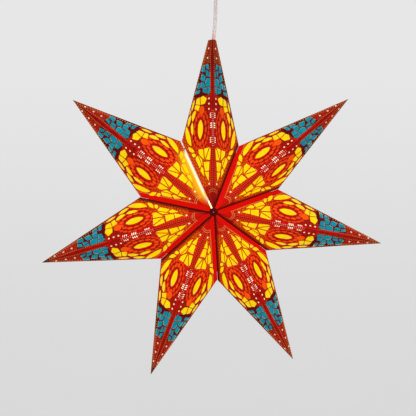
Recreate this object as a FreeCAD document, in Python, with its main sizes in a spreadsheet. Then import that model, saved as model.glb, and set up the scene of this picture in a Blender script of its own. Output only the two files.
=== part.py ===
"""Seven-pointed folded paper star lantern with its lamp, cord and ceiling fitting.

Frame: millimetres, +Z up, the front of the star faces -Y.  The origin is the middle of
the ceiling fitting's flat top, and everything hangs below it.
"""
import FreeCAD, Part
import math
import os

V = FreeCAD.Vector

# ---------------------------------------------------------------- driving dimensions

SIZES = (
    # the star as it hangs open
    ("tip_reach", 308.0, "centre to tip of a point"),
    ("notch_reach", 123.0, "centre to notch between two points"),
    ("half_depth", 95.0, "mid-plane to front or back centre"),
    ("centre_hole", 3.0, "radius of the hole where the points meet"),
    # the sheets
    ("card", 0.5, "thickness of the printed card"),
    ("tissue", 0.2, "thickness of the coloured linings"),
    ("flap", 7.0, "width of the glued flaps in the valleys"),
    ("flap_start", 7.0, "centre to the inner ends of the flaps"),
    ("flap_stop", 15.0, "outer ends of the flaps back to the notch"),
    ("seam", 5.0, "width of the glued seam along the back ridge"),
    ("seam_start", 43.0, "centre to the seam's inner end"),
    ("seam_stop", 31.0, "seam's outer end back to the tip"),
    ("slit", 2.4, "open gap between the last card and the first"),
    ("mouth_back", 30.1, "top point's tip back to its cut-off end, where the cord leaves"),
    ("pin_prick", 1.0, "radius of the pricked holes"),
    ("lining_start", 20.0, "centre to the inner end of the linings"),
    ("lining_join", 188.5, "centre to the join of the two linings"),
    ("fit_gap", 0.3, "clearance where sheets and parts meet"),
    # the string: a knot in each centre hole, and a loop that closes the slit
    ("tie_loop", 5.0, "radius of a string loop"),
    ("tie_string", 0.7, "radius of the string"),
    ("tie_hole", 1.2, "radius of the punched holes"),
    ("tie_knot", 2.0, "radius of the knot"),
    # the lamp, from the cord's lower end downwards
    ("grip", 6.0, "radius of the cord grips"),
    ("grip_length", 12.0, "length of the cord grips"),
    ("holder_cap_length", 20.0, "height of the lampholder's cap"),
    ("holder", 14.0, "outer radius of the lampholder"),
    ("holder_wall", 1.6, "wall of the lampholder"),
    ("holder_length", 38.0, "length of the lampholder's skirt"),
    ("core_length", 12.0, "height of the contact block"),
    ("core_above", 6.0, "skirt's upper end down to the contact block"),
    ("contact_height", 3.0, "height of the centre contact"),
    ("contact", 2.5, "radius of the centre contact"),
    ("sleeve_wall", 0.6, "wall of the threaded contact sleeve"),
    ("screw", 1.5, "radius of the small screws"),
    ("screw_length", 3.0, "length of the small screws"),
    ("ring_reach", 21.0, "outer radius of the shade ring"),
    ("ring_length", 7.0, "height of the shade ring"),
    ("ring_up", 3.0, "skirt's lower end up to the shade ring"),
    ("bulb_ball", 22.5, "radius of the bulb's globe"),
    ("bulb_neck", 15.0, "length of the cone between globe and screw cap"),
    ("bulb_cap", 6.7, "radius of the bulb's screw cap"),
    ("bulb_cap_length", 19.0, "length of the screw cap"),
    ("bulb_rise", 15.0, "globe's middle up to the foot of the neck"),
    # the cord, two cores side by side
    ("cord_wide", 6.4, "width of the flat twin cord"),
    ("cord_thick", 3.2, "thickness of the flat twin cord"),
    ("stop", 6.0, "radius of the stop that carries the star"),
    ("stop_length", 12.0, "length of the stop"),
    ("stop_gap", 0.5, "clearance of the cord in the stop"),
    # the ceiling fitting
    ("cup", 35.0, "radius of the ceiling cup"),
    ("cup_height", 34.0, "height of the ceiling cup"),
    ("cup_wall", 1.8, "wall of the ceiling cup"),
    ("bracket", 1.5, "thickness of the bracket strip"),
    ("bracket_wide", 16.0, "width of the bracket strip"),
    ("bracket_ear", 14.0, "drop of the bracket's two ears"),
    ("ceiling_hole", 2.25, "radius of the two ceiling screw holes"),
    ("ceiling_pitch", 44.0, "spacing of the two ceiling screw holes"),
    ("block_long", 24.0, "length of the terminal block"),
    ("block_wide", 14.0, "width of the terminal block"),
    ("block_high", 12.0, "height of the terminal block"),
)

# How the star hangs open: a little wider towards the slit beside its top point.
# Bearings run clockwise from straight up, seen from the front, in degrees, and the
# reaches are shares of tip_reach and notch_reach.  A notch follows the point it is
# listed with.
OPENING = (
    # tip bearing, tip share, notch bearing, notch share
    (359.7, 1.075, 21.0, 1.01),
    (50.0, 1.005, 70.5, 0.98),
    (100.5, 0.975, 126.0, 0.93),
    (151.5, 0.955, 176.5, 0.97),
    (201.0, 0.995, 228.0, 1.00),
    (253.5, 1.020, 281.5, 1.06),
    (308.5, 1.025, 335.5, 1.10),
)
POINTS = len(OPENING)

# The cord from the lampholder to the ceiling cup: aside and above the star's centre.
CORD_ROUTE = (
    (0.0, 96.0),
    (-1.2, 150.0),
    (-1.9, 215.0),
    (-1.5, 268.0),
    (0.2, 304.0),
    (3.0, 328.0),
    (4.1, 360.0),
    (4.0, 391.0),
)

# ---------------------------------------------------------------- the cut design
# Drawn on a flat wall: u runs along the ridge from the centre, v runs across from the
# ridge to the notch.  Each real wall stretches the drawing to its own three corners.

DRAWN_TIP = (322.0, 0.0)
DRAWN_NOTCH = (130.0, 78.5)


# Leaf-shaped windows: middle, half length, half width, tilt, bend of the middle line.
EYE = ((143.0, 31.5), 16.5, 5.8, -3.0, 0.0)
BLADES = (
    ((101.5, 47.5), 5.4, 2.8, 70.0, 0.3),
    ((112.0, 54.2), 8.8, 2.9, 56.0, 0.6),
    ((136.0, 60.0), 18.5, 4.6, 19.0, 2.6),
    ((147.0, 51.0), 11.0, 3.0, 2.0, 1.0),
    ((162.2, 58.4), 10.4, 2.8, -22.0, 0.6),
    ((169.0, 47.4), 9.8, 3.4, -24.0, 0.8),
    ((187.0, 49.3), 10.0, 2.0, -22.0, 0.0),
)
# Windows with straight ribs between them: their corners in order.
SHELLS = (
    ((176.0, 36.5), (180.5, 45.5), (186.5, 43.0), (183.5, 32.5)),
    ((185.5, 32.0), (188.5, 42.5), (196.5, 39.5), (198.0, 33.0)),
    ((185.5, 20.5), (185.5, 30.0), (197.0, 31.0), (199.0, 24.5), (193.0, 15.5)),
)
FAN = (
    ((54.0, 12.5), (69.0, 21.3), (68.0, 11.5)),
    ((70.5, 11.5), (71.5, 20.5), (86.0, 24.0), (84.5, 10.0)),
    ((63.0, 22.9), (73.0, 31.5), (79.0, 30.0), (75.5, 25.0)),
    ((78.0, 33.5), (94.5, 43.5), (99.0, 38.5), (83.0, 29.5)),
    ((80.5, 26.2), (88.5, 30.3), (98.0, 35.2), (91.5, 28.0)),
    ((88.0, 9.0), (90.5, 18.0), (108.0, 9.0), (104.0, 7.3)),
    ((91.5, 20.5), (108.5, 11.5), (108.0, 22.5)),
    ((91.0, 23.3), (101.5, 34.5), (108.5, 36.5), (108.0, 25.5)),
)
POOL = (
    ((199.8, 10.5), (201.5, 14.0), (211.8, 13.0), (211.5, 7.3), (204.0, 7.6)),
    ((202.5, 16.0), (206.5, 25.0), (212.0, 25.0), (212.0, 15.0)),
    ((206.0, 33.5), (206.0, 44.0), (211.0, 41.0), (210.0, 32.0)),
    ((214.0, 7.3), (214.0, 18.0), (221.0, 19.0), (227.5, 16.0), (226.0, 7.4)),
    ((214.0, 20.5), (214.5, 31.0), (224.0, 28.5), (220.5, 21.0)),
    ((213.0, 33.5), (215.5, 40.0), (223.5, 34.5), (222.0, 31.0)),
    ((229.0, 7.3), (230.0, 11.5), (240.0, 9.6), (236.0, 7.3)),
    ((223.5, 21.0), (228.5, 30.0), (238.5, 26.5), (231.7, 18.4)),
    ((230.5, 14.0), (233.5, 16.5), (242.5, 17.7), (239.5, 11.6)),
    ((242.5, 9.0), (244.5, 15.0), (251.5, 17.0), (252.0, 11.5)),
    ((240.5, 20.0), (242.0, 27.5), (251.0, 25.5), (252.5, 19.5)),
)
CORNER = 0.24
# The straight ribs are drawn wide above; every straight side is moved out by this.
WIDEN = 0.45
# Pricked holes; those beyond the join of the linings pierce the turquoise one.
PRICKS = ((48.0, 9.8), (174.0, 9.5), (183.0, 9.4), (192.0, 9.3),
          (263.0, 12.0), (279.0, 9.0), (296.0, 6.0))
PRICK_JOIN = 200.0
# A split beside the side fold of the first card, through card and lining.
SPLIT = ((176.2, 56.2), 5.0, 1.2, -22.2, 0.0)
# Shares of a leaf's half length and half width, once round.
LEAF = ((-1.0, 0.0), (-0.92, 0.35), (-0.4, 1.1), (0.4, 1.1), (0.92, 0.35),
        (1.0, 0.0), (0.92, -0.35), (0.4, -1.1), (-0.4, -1.1), (-0.92, -0.35))


def leaf(middle, half_long, half_wide, tilt, bend):
    """Control points of a window with two narrow ends and a bent middle line."""
    turn = math.radians(tilt)
    outline = []
    for along, across in LEAF:
        x = along * half_long
        y = across * half_wide + bend * (1 - along * along)
        outline.append((middle[0] + x * math.cos(turn) - y * math.sin(turn),
                        middle[1] + x * math.sin(turn) + y * math.cos(turn)))
    return outline


def widened(corners):
    """The same straight-sided figure with every side moved out by WIDEN."""
    turning = sum(a[0] * b[1] - b[0] * a[1] for a, b in zip(corners, corners[1:] + corners[:1]))
    out = math.copysign(WIDEN, turning)
    moved = []
    for before, here, ahead in zip(corners[-1:] + corners[:-1], corners,
                                   corners[1:] + corners[:1]):
        first = V(here[0] - before[0], here[1] - before[1], 0).normalize()
        second = V(ahead[0] - here[0], ahead[1] - here[1], 0).normalize()
        shift = (second - first) * (-out / first.cross(second).z)
        moved.append((here[0] + shift.x, here[1] + shift.y))
    return tuple(moved)


def softened(corners):
    """Control points of a window with straight sides and rounded corners.

    A corner's rounding takes up half of CORNER of each side.
    """
    outline = []
    for here, ahead in zip(corners, corners[1:] + corners[:1]):
        for share in (0.0, CORNER, 1.0 - CORNER):
            outline.append((here[0] + share * (ahead[0] - here[0]),
                            here[1] + share * (ahead[1] - here[1])))
    return outline


def windows():
    """Every window of one wall: the eye, the cells around it, the fan and the pool."""
    leaves = [leaf(*shape) for shape in (EYE,) + BLADES]
    return leaves + [softened(widened(corners)) for corners in SHELLS + FAN + POOL]


# ---------------------------------------------------------------- geometry helpers

BIG = 500.0
# The place in a window's list of control points where its outline starts.
FLANK = 3
# The large faces of a folded sheet are over this area; its edges and flaps are under it.
LARGE_FACE = 400.0


def facing(a, b, c, outside):
    """Unit normal of the plane through three points, turned towards outside."""
    normal = (b - a).cross(c - a)
    normal.normalize()
    return normal if normal.dot(outside - a) > 0 else normal * -1


def inside_of(point, normal, inset=0.0):
    """Everything behind a plane that is moved in by inset, as a large block."""
    block = Part.makeBox(2 * BIG, 2 * BIG, BIG, V(-BIG, -BIG, 0))
    turn = FreeCAD.Rotation(V(0, 0, 1), normal * -1)
    block.Placement = FreeCAD.Placement(point - normal * inset, turn)
    return block


def common(blocks):
    shape = blocks[0]
    for block in blocks[1:]:
        shape = shape.common(block)
    return shape


def smooth_outline(poles):
    """Closed quadratic curve that touches every side of the figure its poles make.

    It starts and ends on a flank, away from the window's pointed end.
    """
    poles = poles[FLANK:] + poles[:FLANK]
    curve = Part.BSplineCurve()
    curve.buildFromPolesMultsKnots(poles, [1] * (len(poles) + 1),
                                   list(range(len(poles) + 1)), True, 2)
    return Part.Wire([curve.toShape()])


# ---------------------------------------------------------------- the star


class Wall:
    """One flat triangle of a card: centre, tip and notch, with its outward normal."""

    def __init__(self, centre, tip, notch):
        self.centre = centre
        self.tip = tip
        self.notch = notch
        self.normal = facing(centre, tip, notch, V(0, centre.y * 10, 0))

    def inside(self, inset):
        return inside_of(self.centre, self.normal, inset)

    def place(self, u, v):
        """Point of the wall that carries the drawn point (u, v)."""
        beta = v / DRAWN_NOTCH[1]
        alpha = (u - beta * DRAWN_NOTCH[0]) / DRAWN_TIP[0]
        return (self.centre + (self.tip - self.centre) * alpha
                + (self.notch - self.centre) * beta)

    def drawn(self, point):
        """The drawn (u, v) of a point on the wall."""
        to_tip = self.tip - self.centre
        to_notch = self.notch - self.centre
        out = point - self.centre
        tt, tn, nn = to_tip.dot(to_tip), to_tip.dot(to_notch), to_notch.dot(to_notch)
        ot, on = out.dot(to_tip), out.dot(to_notch)
        alpha = (ot * nn - on * tn) / (tt * nn - tn * tn)
        beta = (on * tt - ot * tn) / (tt * nn - tn * tn)
        return (alpha * DRAWN_TIP[0] + beta * DRAWN_NOTCH[0], beta * DRAWN_NOTCH[1])

    def outlines(self, cells, holes, depth):
        """Closed outlines of the drawn cells and round holes, depth below the wall."""
        down = self.normal * -depth
        wires = [smooth_outline([self.place(u, v) + down for u, v in cell])
                 for cell in cells]
        for u, v, radius in holes:
            circle = Part.Circle(self.place(u, v) + down, self.normal, radius)
            wires.append(Part.Wire([circle.toShape()]))
        return wires


class Point:
    """Where one card lies: its four walls and the planes that bound it."""

    def __init__(self, size, index):
        bearing, share, notch_bearing, notch_share = OPENING[index]
        _, _, before_bearing, before_share = OPENING[index - 1]
        self.index = index
        self.stretch = share
        self.axis = heading(bearing)
        tip = self.axis * (size["tip_reach"] * share)
        self.left_notch = heading(before_bearing) * (size["notch_reach"] * before_share)
        self.right_notch = heading(notch_bearing) * (size["notch_reach"] * notch_share)
        front = V(0, -size["half_depth"], 0)
        back = V(0, size["half_depth"], 0)
        self.front_left = Wall(front, tip, self.left_notch)
        self.front_right = Wall(front, tip, self.right_notch)
        self.back_left = Wall(back, tip, self.left_notch)
        self.back_right = Wall(back, tip, self.right_notch)
        self.right_walls = (self.front_right, self.back_right)
        self.walls = (self.front_left, self.back_left) + self.right_walls

    def hollow(self, right, left):
        """The solid wedge inside the four walls, with each side moved in."""
        return common([self.front_right.inside(right), self.back_right.inside(right),
                       self.front_left.inside(left), self.back_left.inside(left)])

    def sector(self, left_gap, right_gap):
        """The slice of space between the point's two valleys."""
        left = V(0, 1, 0).cross(self.left_notch)
        right = self.right_notch.cross(V(0, 1, 0))
        left.normalize()
        right.normalize()
        if left.dot(self.axis) > 0:
            left = left * -1
        if right.dot(self.axis) > 0:
            right = right * -1
        return common([inside_of(V(0, 0, 0), left, left_gap),
                       inside_of(V(0, 0, 0), right, right_gap)])

    def beyond(self, reach):
        """Everything farther out than reach along the point's axis."""
        return inside_of(self.axis * reach, self.axis * -1)

    def within(self, reach):
        return inside_of(self.axis * reach, self.axis)


def mouth_height(size):
    """Centre to the cut-off end of the top point."""
    return size["tip_reach"] * OPENING[0][1] - size["mouth_back"]


def heading(bearing):
    """Unit vector in the star's mid-plane at a bearing clockwise from straight up."""
    turn = math.radians(bearing)
    return V(math.sin(turn), 0, math.cos(turn))


def valley_flap(size, before, front):
    """Glue flap of a card, lying behind the right wall of the card before it."""
    wall = before.front_right if front else before.back_right
    other_wall = before.front_left if front else before.back_left
    card = size["card"]
    sheet = wall.inside(card).cut(wall.inside(2 * card))
    notch = wall.notch
    radial = V(0, 1, 0).cross(notch)
    radial.normalize()
    if radial.dot(before.axis) > 0:
        radial = radial * -1
    reach = notch.Length
    along = notch * (1 / reach)
    # the flap is cut back at the notch and the centre, and narrows where its wall does
    start = along * size["flap_start"]
    end = along * (reach - size["flap_stop"])
    return common([sheet, inside_of(V(0, 0, 0), radial, -card / 2),
                   inside_of(wall.centre, line_side(wall, notch), -size["flap"]),
                   other_wall.inside(3 * card),
                   inside_of(start, along * -1), inside_of(end, along)])


def line_side(wall, line_end):
    """In-plane direction from a line through the wall's centre into the wall."""
    along = line_end - wall.centre
    along.normalize()
    across = along.cross(wall.normal)
    other = wall.tip if line_end == wall.notch else wall.notch
    return across if across.dot(other - wall.centre) > 0 else across * -1


def back_seam(size, point, grow=0.0, deep=None):
    """Strip of the left back wall that is glued inside the right one along the ridge.

    With grow and deep it is the room that the lining leaves for that strip.
    """
    wall = point.back_right
    card = size["card"]
    left_inset = 1.5 * card
    if deep:
        sheet = wall.inside(0).cut(wall.inside(deep))
        left_inset = card
    else:
        sheet = wall.inside(card).cut(wall.inside(2 * card))
    ridge_side = line_side(wall, wall.tip)
    reach = wall.tip.Length
    return common([sheet, inside_of(wall.centre, ridge_side, -size["seam"] - grow),
                   inside_of(wall.centre, ridge_side * -1, -card),
                   point.front_left.inside(left_inset), point.back_left.inside(left_inset),
                   point.front_right.inside(card / 2),
                   point.beyond(size["seam_start"] - grow),
                   point.within(reach - size["seam_stop"] + grow)])


def perforate(solid, cuts):
    """The folded sheet with its windows cut through.

    cuts lists (wall, top, bottom, cells, holes): top and bottom are the depths of the
    sheet's two faces below the wall's own plane.
    """
    faces = []
    for face in solid.Faces:
        wires = []
        for wall, top, bottom, cells, holes in cuts:
            for depth in (top, bottom):
                if lies_on(face, wall, depth):
                    wires += wall.outlines(cells, holes, depth)
        if wires:
            holed = Part.makeFace([face.OuterWire] + wires, "Part::FaceMakerBullseye")
            faces += holed.Faces
        else:
            faces.append(face)
    for wall, top, bottom, cells, holes in cuts:
        through = wall.normal * (top - bottom)
        for wire in wall.outlines(cells, holes, top):
            faces += wire.extrude(through).Faces
    shell = Part.makeShell(faces)
    shell.sewShape()
    # a sliver that touches a fold along one edge only comes out as an open shell
    closed = [skin for skin in shell.Shells if skin.isClosed()]
    sheet = Part.makeSolid(max(closed, key=lambda skin: skin.Area))
    if sheet.Volume < 0:
        sheet.reverse()
    return sheet


def lies_on(face, wall, depth):
    """True for the sheet's large face at this depth below the wall."""
    if face.Area < LARGE_FACE:
        return False
    normal = face.normalAt(0, 0)
    if abs(abs(normal.dot(wall.normal)) - 1) > 1e-9:
        return False
    offset = (wall.centre - face.CenterOfMass).dot(wall.normal)
    return abs(offset - depth) < 1e-6


def make_card(size, points, index):
    point = points[index]
    card = size["card"]
    first = index == 0
    last = index == POINTS - 1
    left_gap = size["slit"] / 2 if first else 0.0
    right_gap = size["slit"] / 2 if last else size["fit_gap"]
    shape = point.hollow(0, card).cut(point.hollow(card, 2 * card))
    shape = shape.common(point.sector(left_gap, right_gap))
    pieces = [back_seam(size, point)]
    if not first:
        pieces += [valley_flap(size, points[index - 1], True),
                   valley_flap(size, points[index - 1], False)]
    shape = shape.fuse(pieces).removeSplitter()
    if first:
        shape = shape.common(point.within(mouth_height(size)))
    hole = Part.makeCylinder(size["centre_hole"], 4 * size["half_depth"],
                             V(0, -2 * size["half_depth"], 0), V(0, 1, 0))
    shape = one_solid(shape.cut(hole))
    cuts = []
    for wall in point.walls:
        cells = windows() + splits(first, wall, point)
        right = wall in point.right_walls
        top = 0.0 if right else card
        beside_slit = (last and right) or (first and not right)
        ties = tie_holes(size, wall) if beside_slit else []
        cuts.append((wall, top, top + card, cells, pricks(size, point) + ties))
    return perforate(shape, cuts)


def pricks(size, point):
    """The pricked holes of a wall; those the cord's mouth cuts off are left out."""
    reach = point.front_right.tip.Length
    kept = reach if point.index else mouth_height(size) - size["flap"]
    return [(u, v, size["pin_prick"]) for u, v in PRICKS if u / DRAWN_TIP[0] * reach < kept]


def splits(first, wall, point):
    """The split in the front left wall of the first card, none elsewhere."""
    return [leaf(*SPLIT)] if first and wall is point.front_left else []


def one_solid(shape):
    """The single solid inside a compound."""
    if len(shape.Solids) != 1:
        raise ValueError("expected one solid, found %d" % len(shape.Solids))
    return shape.Solids[0]


def valley_strip(size, wall):
    """Room that a lining leaves along a valley, for the glued flap or the ties."""
    deep = 3 * size["card"] + size["tissue"]
    return common([wall.inside(0).cut(wall.inside(deep)),
                   inside_of(wall.centre, line_side(wall, wall.notch),
                             -size["flap"] - size["fit_gap"])])


def make_lining(size, points, index, amber):
    """Coloured tissue folded with the card and glued inside it."""
    point = points[index]
    card = size["card"]
    tissue = size["tissue"]
    gap = size["fit_gap"]
    sheet = point.hollow(card, 2 * card).cut(point.hollow(card + tissue, 2 * card + tissue))
    sheet = sheet.common(point.sector(4 * gap, 4 * gap))
    clear_walls = list(point.right_walls)
    if index == 0:
        clear_walls += [point.front_left, point.back_left]
    strips = [valley_strip(size, wall) for wall in clear_walls]
    strips.append(back_seam(size, point, gap, 3 * card + tissue))
    shape = sheet.cut(strips)
    if amber:
        shape = common([shape, point.beyond(size["lining_start"]),
                        point.within(size["lining_join"] * point.stretch - gap / 2)])
    else:
        shape = common([shape, point.beyond(size["lining_join"] * point.stretch + gap / 2)])
    if index == 0:
        shape = shape.common(point.within(mouth_height(size) - size["flap"]))
    holes = [hole for hole in pricks(size, point) if (hole[0] < PRICK_JOIN) == amber]
    cuts = []
    for wall in point.walls:
        top = card if wall in point.right_walls else 2 * card
        cells = splits(index == 0 and amber, wall, point)
        cuts.append((wall, top, top + tissue, cells, holes))
    return perforate(one_solid(shape), cuts)


# ---------------------------------------------------------------- the ties

# Share of the slit's length from the centre to each loop: (name, front side, share).
TIES = (
    ("notch_tie", False, 0.92),
)
# The knots that draw the cards' inner corners together: (name, front side).
KNOTS = (
    ("front_tie", True),
    ("back_tie", False),
)


def tie_holes(size, wall):
    """Punched holes for the ties in one wall beside the slit."""
    front = wall.centre.y < 0
    holes = []
    for _, on_front, share in TIES:
        if on_front == front:
            place = wall.centre + (wall.notch - wall.centre) * share
            u, v = wall.drawn(place + line_side(wall, wall.notch) * size["tie_loop"])
            holes.append((u, v, size["tie_hole"]))
    return holes


def make_tie(size, last_point, front, share):
    """String loop through the two punched holes, knotted inside the star."""
    wall = last_point.front_right if front else last_point.back_right
    along = wall.notch - wall.centre
    place = wall.centre + along * share
    along.normalize()
    inward = V(0, 1 if front else -1, 0)
    inward = inward - along * inward.dot(along)
    inward.normalize()
    ring = Part.makeTorus(size["tie_loop"], size["tie_string"])
    knot = Part.makeSphere(size["tie_knot"], V(-size["tie_loop"], 0, 0))
    turn = FreeCAD.Rotation(inward * -1, along.cross(inward * -1), along, "XYZ")
    hung = FreeCAD.Placement(place, turn)
    return ring.fuse(knot).transformed(hung.toMatrix(), True)


def make_knot(size, point, front):
    """Round knot that fills the centre hole, level with the middle of its rim."""
    wall = point.front_right if front else point.back_right
    ridge_rim = wall.centre + (wall.tip - wall.centre) * (size["centre_hole"]
                                                          / wall.tip.Length)
    valley_rim = wall.centre + (wall.notch - wall.centre) * (size["centre_hole"]
                                                             / wall.notch.Length)
    depth = (ridge_rim.y + valley_rim.y) / 2
    return Part.makeSphere(size["centre_hole"] - size["fit_gap"], V(0, depth, 0))


# ---------------------------------------------------------------- the cord


def cord_path(points):
    """Straight runs joined by arcs that are as large as the runs allow."""
    edges = []
    radii = []
    start = points[0]
    length = 0.0
    for before, here, after in zip(points, points[1:], points[2:]):
        to_before = before - here
        to_after = after - here
        shorter = min(to_before.Length, to_after.Length)
        half_turn = (math.pi - to_before.getAngle(to_after)) / 2
        cut = 0.45 * shorter
        to_before.normalize()
        to_after.normalize()
        leave = here + to_before * cut
        meet = here + to_after * cut
        radius = cut / math.tan(half_turn)
        bisector = to_before + to_after
        bisector.normalize()
        middle = here + bisector * (radius / math.cos(half_turn) - radius)
        edges.append(Part.LineSegment(start, leave).toShape())
        edges.append(Part.Arc(leave, middle, meet).toShape())
        radii.append(round(radius))
        start = meet
    edges.append(Part.LineSegment(start, points[-1]).toShape())
    wire = Part.Wire(edges)
    return wire, radii


def twin_section(size, at, direction, grow=0.0):
    """Flat rounded section of the cord, wide along X, across its direction."""
    half = (size["cord_wide"] - size["cord_thick"]) / 2
    radius = size["cord_thick"] / 2 + grow
    a = V(-half, radius, 0)
    b = V(half, radius, 0)
    c = V(half, -radius, 0)
    d = V(-half, -radius, 0)
    wire = Part.Wire([Part.LineSegment(a, b).toShape(),
                      Part.Arc(b, V(half + radius, 0, 0), c).toShape(),
                      Part.LineSegment(c, d).toShape(),
                      Part.Arc(d, V(-half - radius, 0, 0), a).toShape()])
    wire.Placement = FreeCAD.Placement(at, FreeCAD.Rotation(V(0, 0, 1), direction))
    return wire


def make_cord(size):
    points = [V(x, 0, z) for x, z in CORD_ROUTE]
    path, radii = cord_path(points)
    section = twin_section(size, points[0], points[1] - points[0])
    tube = path.makePipeShell([section], True, True)
    area = Part.Face(section).Area
    print("cord radii", radii, "length %.1f" % path.Length,
          "volume ratio %.4f" % (tube.Volume / (area * path.Length)))
    return tube.Solids[0] if tube.Solids else tube


def cord_at(height):
    """Sideways place of the cord at a height above the star's centre."""
    for (x0, z0), (x1, z1) in zip(CORD_ROUTE, CORD_ROUTE[1:]):
        if z0 <= height <= z1:
            return x0 + (x1 - x0) * (height - z0) / (z1 - z0)
    return CORD_ROUTE[-1][0]


def make_stop(size, first_point):
    """Grooved barrel gripped on the cord; the narrowing top point rests on it."""
    need = size["stop"] + 2 * size["card"] + size["tissue"] + size["fit_gap"]
    top = mouth_height(size)
    for _ in range(3):
        aside = cord_at(top - size["stop_length"] / 2)
        top = min((wall.tip.dot(wall.normal) - aside * wall.normal.x - need) / wall.normal.z
                  for wall in first_point.walls)
    barrel = Part.makeCylinder(size["stop"], size["stop_length"],
                               V(aside, 0, top - size["stop_length"]))
    slot = Part.Face(twin_section(size, V(aside, 0, top - size["stop_length"] - 1),
                                  V(0, 0, 1), size["stop_gap"]))
    return barrel.cut(slot.extrude(V(0, 0, size["stop_length"] + 2)))


# ---------------------------------------------------------------- the document


def fill_sheet(doc):
    """Write the driving dimensions and the ends of the cord, and read them back."""
    sheet = doc.addObject("Spreadsheet::Sheet", "sizes")
    rows = SIZES + (
        ("lamp_top", CORD_ROUTE[0][1], "star's centre up to the cord's lower end"),
        ("cord_top", CORD_ROUTE[-1][1], "star's centre up to the cord's upper end"),
        ("star_aside", CORD_ROUTE[-1][0], "star's centre across to the ceiling fitting"),
    )
    for row, (name, value, note) in enumerate(rows, 1):
        sheet.set("A%d" % row, name)
        sheet.set("B%d" % row, str(value))
        sheet.set("C%d" % row, note)
        sheet.setAlias("B%d" % row, name)
    doc.recompute()
    return {name: float(sheet.get(name)) for name, _, _ in rows}


def solid_feature(doc, name, shape, base):
    """Sub-part whose folded or swept form is built in code, hung at base."""
    feature = doc.addObject("Part::Feature", name)
    feature.Shape = shape
    feature.Placement = FreeCAD.Placement(base, FreeCAD.Rotation())
    return feature


def primitive(doc, kind, name, bottom, aside="0", **formulas):
    """Part primitive standing on a height that comes from the sheet."""
    thing = doc.addObject("Part::" + kind, name)
    for field, formula in formulas.items():
        thing.setExpression(field, formula)
    thing.setExpression("Placement.Base.x", aside)
    thing.setExpression("Placement.Base.z", bottom)
    return thing


def combined(doc, kind, name, *things):
    """Part::MultiFuse or a chain of cuts of the first by the rest."""
    if kind == "fuse":
        result = doc.addObject("Part::MultiFuse", name)
        result.Shapes = list(things)
        return result
    result = things[0]
    for number, tool in enumerate(things[1:]):
        cut = doc.addObject("Part::Cut", name if number == len(things) - 2
                            else "%s_cut_%d" % (name, number + 1))
        cut.Base = result
        cut.Tool = tool
        result = cut
    return result


# Heights of the lamp above the star's centre, hung from the cord's lower end.
CAP_LOW = "sizes.lamp_top - sizes.grip_length - sizes.holder_cap_length"
SKIRT_LOW = CAP_LOW + " - sizes.holder_length"
CORE_LOW = CAP_LOW + " - sizes.core_above - sizes.core_length"
BULB_TOP = CORE_LOW + " - sizes.contact_height"
BULB_FOOT = BULB_TOP + " - sizes.bulb_cap_length"
# The star's centre below the ceiling, and beside the middle of its fitting.
DROP = " - sizes.cord_top - sizes.cup_height - sizes.grip_length"
STAR = "-sizes.star_aside"


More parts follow.
